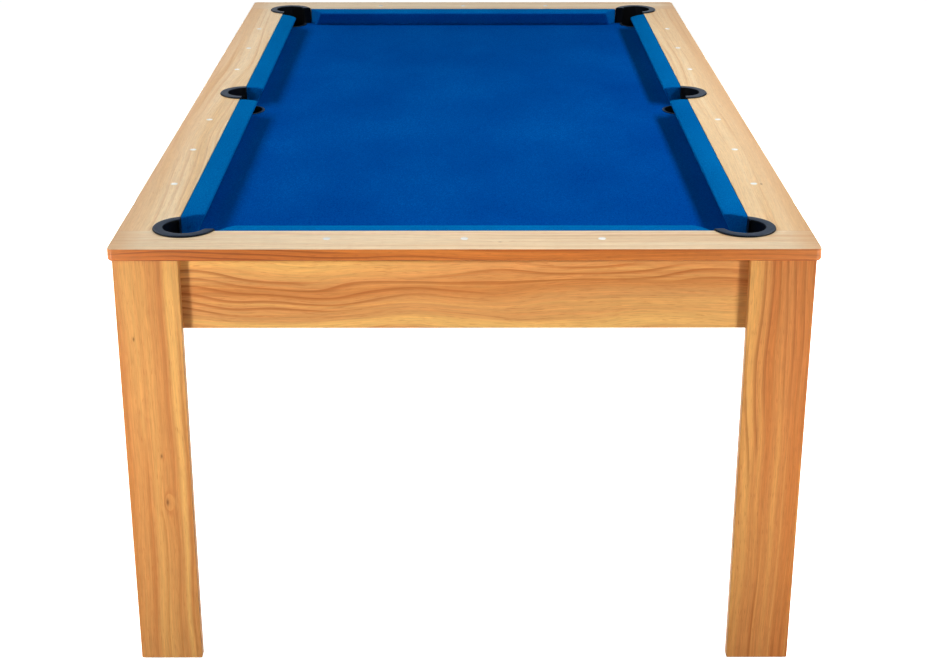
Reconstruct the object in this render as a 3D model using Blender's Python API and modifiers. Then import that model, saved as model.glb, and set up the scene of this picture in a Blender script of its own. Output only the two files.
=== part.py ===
"""Pool table: a nominal seven foot home table on four L-shaped corner legs.

Frame: origin on the floor under the middle of the table, +X to the right, +Y towards the
far end, +Z up. Near is the -Y end and left is the -X side.
"""
import math

import bmesh
import bpy
from mathutils import Matrix, Vector

# ---- Driving dimensions, metres ---------------------------------------------------------
LENGTH = 2.134           # over the end rails
WIDTH = 1.190            # over the side rails
RAIL_TOP = 0.798         # wood surface of the rails above the floor
GAP = 0.0003             # left between pieces that touch

RAIL_WIDTH = 0.096
RAIL_THICK = 0.022
RAIL_CORNER_RADIUS = 0.010
RAIL_UNDER_RADIUS = 0.005
ARRIS = 0.001            # eased edge of a sawn board

BED_DEPTH = 0.040        # cloth surface below the rail top
CLOTH_THICK = 0.0012
BED_THICK = 0.018

NOSE_INSET = 0.1365      # cushion nose from the outer edge
NOSE_DROP = 0.0030       # top of the nose below the rail top
NOSE_RADIUS = 0.0035
CUSHION_FOOT_INSET = 0.120
CUSHION_TOP_DROP = 0.0015
CORNER_CUT_WOOD = 0.1685     # cushion end from the outer edge at a corner, at the wood
CORNER_CUT_NOSE = 0.1985     # and at the nose
MIDDLE_CUT_WOOD = 0.0545     # cushion end from the middle of the side, at the wood
MIDDLE_CUT_NOSE = 0.0570     # and at the nose

CORNER_POCKET_INSET = 0.114  # pocket centre from both outer edges
MIDDLE_POCKET_INSET = 0.102  # pocket centre from the side edge
POCKET_RADIUS = 0.0375       # inside of the liner wall
LINER_THICK = 0.003
COLLAR_RADIUS = 0.0555
COLLAR_RISE = 0.003
LIP_RADIUS = 0.043           # lip that covers the edge of the bed hole
LIP_RISE = 0.001
CUP_FLOOR = 0.6555           # underside of the cup above the floor
CUP_FILLET = 0.012
POCKET_CLEARANCE = 0.0005    # round the liner wall in the wood

LEG_INSET = 0.007            # leg face behind the rail edge
LEG_WIDTH = 0.110
LEG_THICK = 0.018
LEG_BOTTOM = 0.005
LEG_FOOT_RADIUS = 0.003
APRON_THICK = 0.0177
APRON_BOTTOM = 0.6468

BATTEN_CORNER_END = 0.172    # end of a cushion batten from the outer corner
BATTEN_MIDDLE_END = 0.0575   # and from the middle of a side
LEDGER_THICK = 0.015
LEDGER_HEIGHT = 0.030
CROSSBEAM_THICK = 0.030
CROSSBEAM_HEIGHT = 0.060
CROSSBEAM_PLACES = (-0.68, -0.24, 0.24, 0.68)
CORNER_BLOCK_LEG = 0.068
CORNER_BLOCK_HEIGHT = 0.040
BRACKET_HEIGHT = 0.042
BRACKET_FLANGE = 0.048
BRACKET_THICK = 0.0025
BOLT_HEAD_RADIUS = 0.0065
BOLT_HEAD_HEIGHT = 0.005

LEVELLER_INSET = 0.055       # leveller axis from both outer edges
FOOT_BLOCK_SIZE = 0.058
FOOT_BLOCK_BOTTOM = 0.014
FOOT_BLOCK_TOP = 0.072
STEM_RADIUS = 0.004
STEM_TOP = 0.052
STEM_HOLE_TOP = 0.062
STEM_HOLE_CLEARANCE = 0.0004
HEX_RADIUS = 0.0072
HEX_HEIGHT = 0.005
PAD_RADIUS = 0.018
PAD_BOSS_RADIUS = 0.008
PAD_BASE_HEIGHT = 0.004
PAD_TOP = 0.007

POCKET_STEPS = 32
SMALL_STEPS = 16

# ---- Heights and insets that follow ------------------------------------------------------
RAIL_UNDERSIDE = RAIL_TOP - RAIL_THICK
BED_TOP = RAIL_TOP - BED_DEPTH
BOARD_TOP = BED_TOP - CLOTH_THICK - GAP
BOARD_BOTTOM = BOARD_TOP - BED_THICK
UNDER_BED = BOARD_BOTTOM - GAP
APRON_OUTER = LEG_INSET + LEG_THICK + GAP
APRON_INNER = APRON_OUTER + APRON_THICK
LEDGER_INNER = APRON_INNER + GAP + LEDGER_THICK
BED_INSET = APRON_INNER + 0.0015
HALF_WIDTH = WIDTH / 2
HALF_LENGTH = LENGTH / 2
LINER_OUTER = POCKET_RADIUS + LINER_THICK
LINER_FRONT = RAIL_WIDTH + GAP + LINER_THICK

# A corner's frame has its origin at the outer corner of the table, with +X and +Y inwards.
CORNERS = {
    "near_left": (-1, -1, 0),
    "near_right": (1, -1, 90),
    "far_right": (1, 1, 180),
    "far_left": (-1, 1, 270),
}
# An edge's frame has its origin at the middle of an outer edge, with +Y inwards.
EDGES = {
    "near": (0, -1, 0),
    "right": (1, 0, 90),
    "far": (0, 1, 180),
    "left": (-1, 0, 270),
}

FINISHES = {
    "oak": ((0.68, 0.40, 0.17), 0.45, 0.0),
    "cloth": ((0.0, 0.075, 0.38), 0.95, 0.0),
    "black_plastic": ((0.03, 0.035, 0.04), 0.5, 0.0),
    "fibreboard": ((0.42, 0.28, 0.16), 0.85, 0.0),
    "softwood": ((0.62, 0.45, 0.26), 0.75, 0.0),
    "steel": ((0.55, 0.56, 0.58), 0.35, 1.0),
    "foot_plastic": ((0.05, 0.05, 0.055), 0.6, 0.0),
}


# ---- Helpers -----------------------------------------------------------------------------
def clear_scene():
    for old in list(bpy.data.objects):
        bpy.data.objects.remove(old)


def make_collection(name):
    group = bpy.data.collections.new(name)
    bpy.context.scene.collection.children.link(group)
    return group


def make_material(node, finish):
    color, roughness, metallic = FINISHES[finish]
    material = bpy.data.materials.new(node)
    material.use_nodes = True
    shader = material.node_tree.nodes["Principled BSDF"]
    shader.inputs["Base Color"].default_value = (*color, 1)
    shader.inputs["Roughness"].default_value = roughness
    shader.inputs["Metallic"].default_value = metallic
    material.diffuse_color = (*color, 1)
    return material


def new_object(name, mesh, group):
    made = bpy.data.objects.new(name, mesh)
    group.objects.link(made)
    return made


def mesh_from(bm, name):
    mesh = bpy.data.meshes.new(name)
    bm.to_mesh(mesh)
    bm.free()
    return mesh


def box_bmesh(low, high):
    """A cube primitive stretched between two opposite corners."""
    low, high = Vector(low), Vector(high)
    bm = bmesh.new()
    place = Matrix.Translation((low + high) / 2) @ Matrix.Diagonal((*(high - low), 1))
    bmesh.ops.create_cube(bm, size=1, matrix=place)
    return bm


def round_edges(bm, radius, segments, chosen):
    """Round the edges whose middle point and direction pass the test."""
    picked = []
    for edge in bm.edges:
        first, second = (vertex.co for vertex in edge.verts)
        if chosen((first + second) / 2, (second - first).normalized()):
            picked.append(edge)
    bmesh.ops.bevel(bm, geom=picked, offset=radius, segments=segments, profile=0.5,
                    affect="EDGES", clamp_overlap=True)


def prism(name, outline, bottom, top):
    """A flat outline as a filled 2D curve, extruded between two heights, as a mesh."""
    curve = bpy.data.curves.new(name, "CURVE")
    curve.dimensions = "2D"
    curve.fill_mode = "BOTH"
    curve.extrude = (top - bottom) / 2
    spline = curve.splines.new("POLY")
    spline.points.add(len(outline) - 1)
    for point, (x, y) in zip(spline.points, outline):
        point.co = (x, y, 0, 1)
    spline.use_cyclic_u = True
    holder = bpy.data.objects.new(name, curve)
    bpy.context.scene.collection.objects.link(holder)
    mesh = evaluated_mesh(holder)
    bpy.data.objects.remove(holder)
    bpy.data.curves.remove(curve)
    bm = bmesh.new()
    bm.from_mesh(mesh)
    bpy.data.meshes.remove(mesh)
    bmesh.ops.remove_doubles(bm, verts=bm.verts, dist=1e-6)
    bmesh.ops.dissolve_limit(bm, angle_limit=math.radians(0.5), verts=bm.verts, edges=bm.edges)
    bmesh.ops.translate(bm, vec=(0, 0, (top + bottom) / 2), verts=bm.verts)
    bmesh.ops.recalc_face_normals(bm, faces=bm.faces)
    return bm


def evaluated_mesh(source):
    bpy.context.view_layer.update()
    graph = bpy.context.evaluated_depsgraph_get()
    return bpy.data.meshes.new_from_object(source.evaluated_get(graph))


def arc(center, radius, start, end, segments):
    """Points of an arc, angles in degrees, both ends included."""
    points = []
    for step in range(segments + 1):
        angle = math.radians(start + (end - start) * step / segments)
        points.append((center[0] + radius * math.cos(angle), center[1] + radius * math.sin(angle)))
    return points


def turned(name, profile, group, steps):
    """A profile of (radius, height) points turned about Z with a Screw modifier."""
    mesh = bpy.data.meshes.new(name)
    points = [(radius, 0, height) for radius, height in profile]
    edges = [(i, i + 1) for i in range(len(points) - 1)]
    mesh.from_pydata(points, edges, [])
    made = new_object(name, mesh, group)
    screw = made.modifiers.new("turn", "SCREW")
    screw.steps = steps
    screw.render_steps = steps
    screw.use_merge_vertices = True
    screw.merge_threshold = 1e-5
    return made


def boolean(target, tool, operation):
    modifier = target.modifiers.new(tool.name, "BOOLEAN")
    modifier.object = tool
    modifier.operation = operation
    modifier.solver = "EXACT"


def as_cutter(bm, name):
    cutter = new_object(name, mesh_from(bm, name), CUTTERS)
    cutter.hide_render = True
    cutter.display_type = "WIRE"
    return cutter


def cylinder_bmesh(center, radius, bottom, top, segments):
    bm = bmesh.new()
    place = Matrix.Translation((center[0], center[1], (bottom + top) / 2))
    bmesh.ops.create_cone(bm, cap_ends=True, segments=segments, radius1=radius, radius2=radius,
                          depth=top - bottom, matrix=place)
    return bm


def place(made, frame):
    """Put a piece made in a corner's or an edge's frame at its corner or edge."""
    side_x, side_y, turn = frame
    made.location = (side_x * HALF_WIDTH, side_y * HALF_LENGTH, 0)
    made.rotation_euler = (0, 0, math.radians(turn))


def finish_node(made, finish, smooth_angle=None):
    made.data.materials.clear()
    made.data.materials.append(make_material(made.name, finish))
    if smooth_angle:
        made.data.shade_smooth()
        made.data.set_sharp_from_angle(angle=math.radians(smooth_angle))


def box_node(name, low, high, finish, frame=None, ease=ARRIS):
    bm = box_bmesh(low, high)
    round_edges(bm, ease, 1, lambda middle, direction: True)
    made = new_object(name, mesh_from(bm, name), PARTS)
    if frame:
        place(made, frame)
    finish_node(made, finish)
    return made


# ---- Rails -------------------------------------------------------------------------------
def pocket_centers():
    """World plan positions of the six pockets, keyed by the name of their place."""
    centers = {}
    for corner, (side_x, side_y, _) in CORNERS.items():
        centers[corner] = (side_x * (HALF_WIDTH - CORNER_POCKET_INSET),
                           side_y * (HALF_LENGTH - CORNER_POCKET_INSET))
    for name, side_x in (("middle_left", -1), ("middle_right", 1)):
        centers[name] = (side_x * (HALF_WIDTH - MIDDLE_POCKET_INSET), 0)
    return centers


def pocket_cutters():
    """One upright cylinder a pocket, through the rails, the cloth and the bed board."""
    cutters = {}
    for name, center in pocket_centers().items():
        bm = cylinder_bmesh(center, LINER_OUTER + POCKET_CLEARANCE, BOARD_BOTTOM - 0.01,
                            RAIL_TOP + 0.01, POCKET_STEPS)
        cutters[name] = as_cutter(bm, f"pocket_hole_{name}")
    return cutters


def end_rails(cutters):
    """The end rails run the full width and carry the rounded corners of the top."""
    for name in ("near", "far"):
        side = EDGES[name][1]
        outer, inner = side * HALF_LENGTH, side * (HALF_LENGTH - RAIL_WIDTH)
        bm = box_bmesh((-HALF_WIDTH, min(outer, inner), RAIL_UNDERSIDE),
                       (HALF_WIDTH, max(outer, inner), RAIL_TOP))
        round_edges(bm, RAIL_CORNER_RADIUS, 6,
                    lambda middle, direction: abs(direction.z) > 0.5 and abs(middle.y - outer) < 1e-4)
        round_edges(bm, RAIL_UNDER_RADIUS, 4,
                    lambda middle, direction: middle.z < RAIL_UNDERSIDE + 1e-4
                    and abs(middle.y - inner) > 1e-4)
        round_edges(bm, ARRIS, 2,
                    lambda middle, direction: middle.z > RAIL_TOP - 1e-4
                    and abs(middle.y - inner) > 1e-4)
        rail = new_object(f"end_rail_{name}", mesh_from(bm, f"end_rail_{name}"), PARTS)
        for end in ("left", "right"):
            boolean(rail, cutters[f"{name}_{end}"], "DIFFERENCE")
        finish_node(rail, "oak", 35)


def side_rails(cutters):
    """The side rails butt between the end rails."""
    reach = HALF_LENGTH - RAIL_WIDTH - GAP
    for name in ("left", "right"):
        side = EDGES[name][0]
        outer, inner = side * HALF_WIDTH, side * (HALF_WIDTH - RAIL_WIDTH)
        bm = box_bmesh((min(outer, inner), -reach, RAIL_UNDERSIDE),
                       (max(outer, inner), reach, RAIL_TOP))
        round_edges(bm, RAIL_UNDER_RADIUS, 4,
                    lambda middle, direction: middle.z < RAIL_UNDERSIDE + 1e-4
                    and abs(middle.x - outer) < 1e-4)
        round_edges(bm, ARRIS, 2,
                    lambda middle, direction: middle.z > RAIL_TOP - 1e-4
                    and abs(middle.x - outer) < 1e-4)
        rail = new_object(f"side_rail_{name}", mesh_from(bm, f"side_rail_{name}"), PARTS)
        for place_name in (f"near_{name}", f"middle_{name}", f"far_{name}"):
            boolean(rail, cutters[place_name], "DIFFERENCE")
        finish_node(rail, "oak", 35)


# ---- Cushions and the battens that carry them --------------------------------------------
def cushion_profile():
    """Section through a cushion as (distance from the outer edge, height) points."""
    back = RAIL_WIDTH + GAP
    foot = BED_TOP + GAP
    nose_center = (NOSE_INSET - NOSE_RADIUS, RAIL_TOP - NOSE_DROP - NOSE_RADIUS)
    face_angle = math.degrees(math.atan2(NOSE_INSET - CUSHION_FOOT_INSET, BED_DEPTH))
    nose = arc(nose_center, NOSE_RADIUS, 85, -face_angle, 5)
    return [(back, foot), (back, RAIL_TOP - CUSHION_TOP_DROP)] + nose + [(CUSHION_FOOT_INSET, foot)]


def cut_line(at_wood, at_nose, inset):
    """Where a cushion's slanting end lies at a distance from the outer edge."""
    share = (inset - RAIL_WIDTH) / (NOSE_INSET - RAIL_WIDTH)
    return at_wood + (at_nose - at_wood) * share


def cushion(name, frame, start, end):
    """A cushion along an edge's X from start to end, each a (at wood, at nose) pair."""
    outline = [(inset, height) for inset, height in cushion_profile()]
    bm = prism(name, outline, -0.5, 0.5)
    for vertex in bm.verts:
        inset, height, along = vertex.co
        at_wood, at_nose = end if along > 0 else start
        vertex.co = (cut_line(at_wood, at_nose, inset), inset, height)
    bmesh.ops.recalc_face_normals(bm, faces=bm.faces)
    made = new_object(name, mesh_from(bm, name), PARTS)
    place(made, frame)
    finish_node(made, "cloth", 40)


def cushions_and_battens():
    """Two end cushions, four side cushions, and a batten behind each one."""
    end_wood, end_nose = HALF_WIDTH - CORNER_CUT_WOOD, HALF_WIDTH - CORNER_CUT_NOSE
    side_wood, side_nose = HALF_LENGTH - CORNER_CUT_WOOD, HALF_LENGTH - CORNER_CUT_NOSE
    runs = []
    for end in ("near", "far"):
        batten_reach = HALF_WIDTH - BATTEN_CORNER_END
        runs.append((f"end_{end}", EDGES[end], (-end_wood, -end_nose), (end_wood, end_nose),
                     -batten_reach, batten_reach))
    for side, near_sign in (("left", 1), ("right", -1)):
        for end, sign in (("near", near_sign), ("far", -near_sign)):
            corner_end = (sign * side_wood, sign * side_nose)
            middle_end = (sign * MIDDLE_CUT_WOOD, sign * MIDDLE_CUT_NOSE)
            start, finish = sorted((corner_end, middle_end))
            batten = sorted((sign * BATTEN_MIDDLE_END, sign * (HALF_LENGTH - BATTEN_CORNER_END)))
            runs.append((f"{side}_{end}", EDGES[side], start, finish, *batten))
    for name, frame, start, end, batten_start, batten_end in runs:
        cushion(f"cushion_{name}", frame, start, end)
        box_node(f"cushion_batten_{name}", (batten_start, APRON_INNER + GAP, BED_TOP + GAP),
                 (batten_end, RAIL_WIDTH, RAIL_UNDERSIDE - GAP), "softwood", frame)


# ---- Pocket liners -----------------------------------------------------------------------
def liner_profile():
    """Half section of a whole cup with its collar, from its inside bottom to its underside."""
    inside_floor = CUP_FLOOR + LINER_THICK
    collar_top = RAIL_TOP + COLLAR_RISE
    outer_fillet = CUP_FILLET + LINER_THICK
    edge = COLLAR_RISE - GAP - 0.0005
    profile = [(0, inside_floor)]
    profile += arc((POCKET_RADIUS - CUP_FILLET, inside_floor + CUP_FILLET), CUP_FILLET, -90, 0, 2)
    profile += arc((POCKET_RADIUS + 0.0015, collar_top - 0.0015), 0.0015, 180, 90, 1)
    profile += arc((COLLAR_RADIUS - edge, collar_top - edge), edge, 90, 0, 2)
    profile += [(COLLAR_RADIUS, RAIL_TOP + GAP), (LINER_OUTER, RAIL_TOP + GAP)]
    lip_top = BED_TOP + GAP + LIP_RISE
    profile += [(LINER_OUTER, lip_top), (LIP_RADIUS, lip_top)]
    profile += [(LIP_RADIUS, BED_TOP + GAP), (LINER_OUTER, BED_TOP + GAP)]
    profile += arc((POCKET_RADIUS - CUP_FILLET, CUP_FLOOR + outer_fillet), outer_fillet, 0, -90, 2)
    profile += [(0, CUP_FLOOR)]
    return profile


def liner(name, throat, wings):
    """A turned cup, opened towards the bed above the lip, with a wing to each cushion end."""
    made = turned(name, liner_profile(), PARTS, POCKET_STEPS)
    boolean(made, throat, "DIFFERENCE")
    for wing in wings:
        boolean(made, wing, "UNION")
    mesh = evaluated_mesh(made)
    mesh.name = name
    for tool in [throat, *wings, made]:
        bpy.data.objects.remove(tool)
    return mesh


def wing_box(name, low, high):
    """A wing of the liner, between the plan corners, from the lip up into the collar."""
    return as_cutter(box_bmesh((*low, BED_TOP + GAP + LIP_RISE / 2),
                               (*high, RAIL_TOP + COLLAR_RISE / 2)), name)


def pocket_liners():
    throat_floor = BED_TOP + LIP_RISE
    above = RAIL_TOP + 0.02
    front = LINER_FRONT - CORNER_POCKET_INSET
    back = RAIL_WIDTH + GAP - CORNER_POCKET_INSET
    tip = CORNER_CUT_WOOD - 0.0015 - CORNER_POCKET_INSET
    throat = as_cutter(box_bmesh((front, front, throat_floor), (0.1, 0.1, above)), "throat")
    root = 0.032
    wings = [wing_box("wing_x", (root, back), (tip, front - GAP)),
             wing_box("wing_y", (back, root), (front - GAP, tip))]
    corner_mesh = liner("corner_liner", throat, wings)

    front = LINER_FRONT - MIDDLE_POCKET_INSET
    back = RAIL_WIDTH + GAP - MIDDLE_POCKET_INSET
    tip = MIDDLE_CUT_WOOD - 0.0015
    throat = as_cutter(box_bmesh((front, -0.1, throat_floor), (0.1, 0.1, above)), "throat")
    root = 0.0385
    wings = [wing_box("wing_far", (back, root), (front - GAP, tip)),
             wing_box("wing_near", (back, -tip), (front - GAP, -root))]
    middle_mesh = liner("middle_liner", throat, wings)

    turns = {corner: turn for corner, (_, _, turn) in CORNERS.items()}
    turns.update(middle_left=0, middle_right=180)
    for name, (x, y) in pocket_centers().items():
        mesh = middle_mesh if name.startswith("middle") else corner_mesh
        made = new_object(f"pocket_liner_{name}", mesh.copy(), PARTS)
        made.location = (x, y, 0)
        made.rotation_euler = (0, 0, math.radians(turns[name]))
        finish_node(made, "black_plastic", 35)


# ---- Bed ---------------------------------------------------------------------------------
def bed(cutters):
    half_x, half_y = HALF_WIDTH - BED_INSET, HALF_LENGTH - BED_INSET
    for name, bottom, top, finish in (("bed_board", BOARD_BOTTOM, BOARD_TOP, "fibreboard"),
                                      ("bed_cloth", BOARD_TOP + GAP, BED_TOP, "cloth")):
        bm = box_bmesh((-half_x, -half_y, bottom), (half_x, half_y, top))
        made = new_object(name, mesh_from(bm, name), PARTS)
        for cutter in cutters.values():
            boolean(made, cutter, "DIFFERENCE")
        finish_node(made, finish)


# ---- Aprons, ledgers and crossbeams ------------------------------------------------------
def aprons():
    """The end aprons run across, and the side aprons butt between them."""
    top = RAIL_UNDERSIDE - GAP
    for name in ("near", "far"):
        reach = HALF_WIDTH - APRON_OUTER
        box_node(f"apron_{name}", (-reach, APRON_OUTER, APRON_BOTTOM), (reach, APRON_INNER, top),
                 "oak", EDGES[name])
    for name in ("left", "right"):
        reach = HALF_LENGTH - APRON_INNER - GAP
        box_node(f"apron_{name}", (-reach, APRON_OUTER, APRON_BOTTOM), (reach, APRON_INNER, top),
                 "oak", EDGES[name])


def bed_supports():
    """A ledger along each side apron, and the crossbeams between the ledgers."""
    reach = HALF_LENGTH - APRON_INNER - CORNER_BLOCK_LEG - 0.004
    for name in ("left", "right"):
        box_node(f"ledger_{name}", (-reach, APRON_INNER + GAP, UNDER_BED - LEDGER_HEIGHT),
                 (reach, LEDGER_INNER, UNDER_BED), "softwood", EDGES[name])
    half_span = HALF_WIDTH - LEDGER_INNER - GAP
    for number, y in enumerate(CROSSBEAM_PLACES, start=1):
        box_node(f"crossbeam_{number}",
                 (-half_span, y - CROSSBEAM_THICK / 2, UNDER_BED - CROSSBEAM_HEIGHT),
                 (half_span, y + CROSSBEAM_THICK / 2, UNDER_BED), "softwood")


# ---- Corners: legs, blocks, brackets and levellers ---------------------------------------
def leg_mesh():
    """Two boards mitred into an L that wraps the outside of the apron corner."""
    outer, inner, tip = LEG_INSET, LEG_INSET + LEG_THICK, LEG_INSET + LEG_WIDTH
    outline = [(outer, outer), (tip, outer), (tip, inner), (inner, inner), (inner, tip), (outer, tip)]
    bm = prism("leg", outline, LEG_BOTTOM, RAIL_UNDERSIDE - GAP)
    round_edges(bm, LEG_FOOT_RADIUS, 3,
                lambda middle, direction: middle.z < LEG_BOTTOM + 1e-4
                and abs(middle.x - inner) > 1e-4 and abs(middle.y - inner) > 1e-4)
    return mesh_from(bm, "leg")


def corner_block_mesh():
    """A three-sided glue block behind the apron corner, which also carries the bed."""
    corner = APRON_INNER + GAP
    outline = [(corner, corner), (corner + CORNER_BLOCK_LEG, corner),
               (corner, corner + CORNER_BLOCK_LEG)]
    bm = prism("corner_block", outline, UNDER_BED - CORNER_BLOCK_HEIGHT, UNDER_BED)
    return mesh_from(bm, "corner_block")


def bracket_mesh():
    """A bent steel angle that clamps the leg to both aprons, with two bolt heads a flange."""
    outer = APRON_INNER + GAP
    inner = outer + BRACKET_THICK
    tip = outer + BRACKET_FLANGE
    top = UNDER_BED - CORNER_BLOCK_HEIGHT - 0.003
    bottom = top - BRACKET_HEIGHT
    outline = [(outer, outer), (tip, outer), (tip, inner), (inner, inner), (inner, tip), (outer, tip)]
    made = new_object("bracket", mesh_from(prism("bracket", outline, bottom, top), "bracket"), PARTS)
    heads = []
    for along in (outer + 0.016, outer + 0.036):
        for flange in (0, 1):
            height = bottom + BRACKET_HEIGHT / 2
            depth = inner + BOLT_HEAD_HEIGHT / 2 - BRACKET_THICK / 4
            spot = (along, depth, height) if flange == 0 else (depth, along, height)
            lay = Matrix.Rotation(math.radians(90), 4, "X" if flange == 0 else "Y")
            bm = bmesh.new()
            bmesh.ops.create_cone(bm, cap_ends=True, segments=6, radius1=BOLT_HEAD_RADIUS,
                                  radius2=BOLT_HEAD_RADIUS,
                                  depth=BOLT_HEAD_HEIGHT + BRACKET_THICK / 2,
                                  matrix=Matrix.Translation(spot) @ lay)
            heads.append(as_cutter(bm, f"bolt_head_{along:.3f}_{flange}"))
            boolean(made, heads[-1], "UNION")
    mesh = evaluated_mesh(made)
    for tool in [*heads, made]:
        bpy.data.objects.remove(tool)
    return mesh


def foot_block_mesh():
    """A block glued into the foot of the leg, bored for the leveller's stem."""
    low = LEG_INSET + LEG_THICK + GAP
    bm = box_bmesh((low, low, FOOT_BLOCK_BOTTOM),
                   (low + FOOT_BLOCK_SIZE, low + FOOT_BLOCK_SIZE, FOOT_BLOCK_TOP))
    made = new_object("foot_block", mesh_from(bm, "foot_block"), PARTS)
    bore = cylinder_bmesh((LEVELLER_INSET, LEVELLER_INSET), STEM_RADIUS + STEM_HOLE_CLEARANCE,
                          FOOT_BLOCK_BOTTOM - 0.01, STEM_HOLE_TOP, SMALL_STEPS)
    tool = as_cutter(bore, "stem_bore")
    boolean(made, tool, "DIFFERENCE")
    mesh = evaluated_mesh(made)
    for used in (tool, made):
        bpy.data.objects.remove(used)
    return mesh


def stem_mesh():
    """Threaded stem over a hexagon that takes a spanner."""
    hex_bottom = PAD_TOP + GAP
    hex_top = hex_bottom + HEX_HEIGHT
    profile = [(0, STEM_TOP), (STEM_RADIUS - 0.001, STEM_TOP), (STEM_RADIUS, STEM_TOP - 0.001),
               (STEM_RADIUS, hex_top - 0.001), (0, hex_top - 0.001)]
    made = turned("stem", profile, PARTS, SMALL_STEPS)
    nut = as_cutter(cylinder_bmesh((0, 0), HEX_RADIUS, hex_bottom, hex_top, 6), "stem_hexagon")
    boolean(made, nut, "UNION")
    mesh = evaluated_mesh(made)
    for used in (nut, made):
        bpy.data.objects.remove(used)
    return mesh


def pad_object(name):
    """Round foot pad with a boss that the stem stands on."""
    profile = [(0, PAD_TOP), (PAD_BOSS_RADIUS, PAD_TOP), (PAD_BOSS_RADIUS, PAD_BASE_HEIGHT + 0.0005),
               (PAD_BOSS_RADIUS + 0.001, PAD_BASE_HEIGHT), (PAD_RADIUS - 0.002, PAD_BASE_HEIGHT),
               (PAD_RADIUS, PAD_BASE_HEIGHT - 0.0015), (PAD_RADIUS, 0.0005),
               (PAD_RADIUS - 0.0005, 0), (0, 0)]
    return turned(name, profile, PARTS, SMALL_STEPS)


def corners():
    meshes = {
        "leg": (leg_mesh(), "oak"),
        "corner_block": (corner_block_mesh(), "softwood"),
        "leg_bracket": (bracket_mesh(), "steel"),
        "foot_block": (foot_block_mesh(), "fibreboard"),
    }
    stem = stem_mesh()
    for corner, frame in CORNERS.items():
        for name, (mesh, finish) in meshes.items():
            made = new_object(f"{name}_{corner}", mesh.copy(), PARTS)
            place(made, frame)
            finish_node(made, finish, 30 if name == "leg" else None)
        side_x, side_y, turn = frame
        axis = (side_x * (HALF_WIDTH - LEVELLER_INSET), side_y * (HALF_LENGTH - LEVELLER_INSET), 0)
        pad = pad_object(f"leveller_pad_{corner}")
        threaded = new_object(f"leveller_stem_{corner}", stem.copy(), PARTS)
        for made, finish in ((pad, "foot_plastic"), (threaded, "steel")):
            made.location = axis
            made.rotation_euler = (0, 0, math.radians(turn))
            finish_node(made, finish, 35)


clear_scene()
PARTS = make_collection("pool_table")
CUTTERS = make_collection("cutters")
pocket_holes = pocket_cutters()
end_rails(pocket_holes)
side_rails(pocket_holes)
cushions_and_battens()
pocket_liners()
bed(pocket_holes)
aprons()
bed_supports()
corners()
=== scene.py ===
"""Looks of the pool table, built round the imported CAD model, which stays as it is.

Distances are in metres and colours are sRGB from 0 to 255. The CAD nodes keep their shape; the
soft pieces, the pocket liners and the levellers are replaced by finer ones of the same size.
"""
import math

import bmesh
import bpy
from mathutils import Matrix, Vector, noise


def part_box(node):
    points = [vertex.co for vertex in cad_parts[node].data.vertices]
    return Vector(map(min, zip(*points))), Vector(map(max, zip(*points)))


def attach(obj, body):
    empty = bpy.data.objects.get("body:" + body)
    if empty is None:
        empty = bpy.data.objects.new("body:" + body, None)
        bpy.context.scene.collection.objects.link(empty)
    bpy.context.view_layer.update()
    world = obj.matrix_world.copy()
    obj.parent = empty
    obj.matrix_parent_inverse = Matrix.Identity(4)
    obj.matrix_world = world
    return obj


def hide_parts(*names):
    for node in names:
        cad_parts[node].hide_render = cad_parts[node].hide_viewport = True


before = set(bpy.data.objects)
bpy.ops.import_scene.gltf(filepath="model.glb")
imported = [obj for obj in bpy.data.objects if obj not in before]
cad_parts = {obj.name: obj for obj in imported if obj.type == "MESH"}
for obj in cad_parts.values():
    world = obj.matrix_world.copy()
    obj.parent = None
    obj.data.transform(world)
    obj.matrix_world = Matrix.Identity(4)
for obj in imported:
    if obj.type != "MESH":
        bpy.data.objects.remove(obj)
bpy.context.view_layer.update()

# ---- Dimensions ------------------------------------------------
GAP = 0.0003                 # kept between pieces that touch

CUSHION_ROLL = 0.0009        # where the cloth turns down into the groove beside the wood
CUSHION_CROWN = 0.0004       # highest line of a cushion below the rail top
NOSE_DROP = 0.0032           # top of the nose below the rail top
NOSE_RADIUS = 0.0035
CUSHION_FOOT = 0.0165        # foot of the cushion's face behind its nose
CUSHION_END_RADIUS = 0.0028
CUSHION_SECTION_SPACING = 0.012
CUSHION_STIR = 0.00022       # unevenness of the stretched cloth
ROLL_DROP = 0.0004           # top of the turn beside the wood, below the crown
HIDDEN_ROUNDING = 0.25       # of a cushion's ends at its back and foot, as a share of that in sight
# (share of the depth, fall below the crown), from the wood to the nose
CROWN_SHAPE = ((0.16, 0.0001), (0.34, 0.0), (0.52, 0.0004), (0.68, 0.0010), (0.80, 0.0017))
# (share of the way from the nose to the foot, depth of the hollow)
FACE_SHAPE = ((0.25, 0.0004), (0.5, 0.0007), (0.75, 0.0005), (0.93, 0.0))
CORNER_CUT = 0.030           # how much shorter a nose is than its wood at a corner pocket
MIDDLE_CUT = 0.0025          # and at a middle pocket

POCKET_RADIUS = 0.0375       # inside of a pocket liner's wall
LINER_THICK = 0.003
LIP_RADIUS = 0.043
LIP_RISE = 0.001
CUP_FILLET = 0.012
LINER_EDGE_RADIUS = 0.0007
LIP_EDGE_RADIUS = 0.0006
MOUTH_RADIUS = 0.0018        # where the wall turns into the collar
HOLE_PLAY = 0.0005           # between a liner and the hole in the cloth
THROAT_REACH = 0.1           # how far the opening towards the bed is cut
CORNER_WING_ROOT = 0.032     # where a wing leaves the wall, from the pocket's centre
MIDDLE_WING_ROOT = 0.0385
WING_PLAY = 0.0015           # between a wing's tip and the cushion
LINER_STEPS = 128

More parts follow.
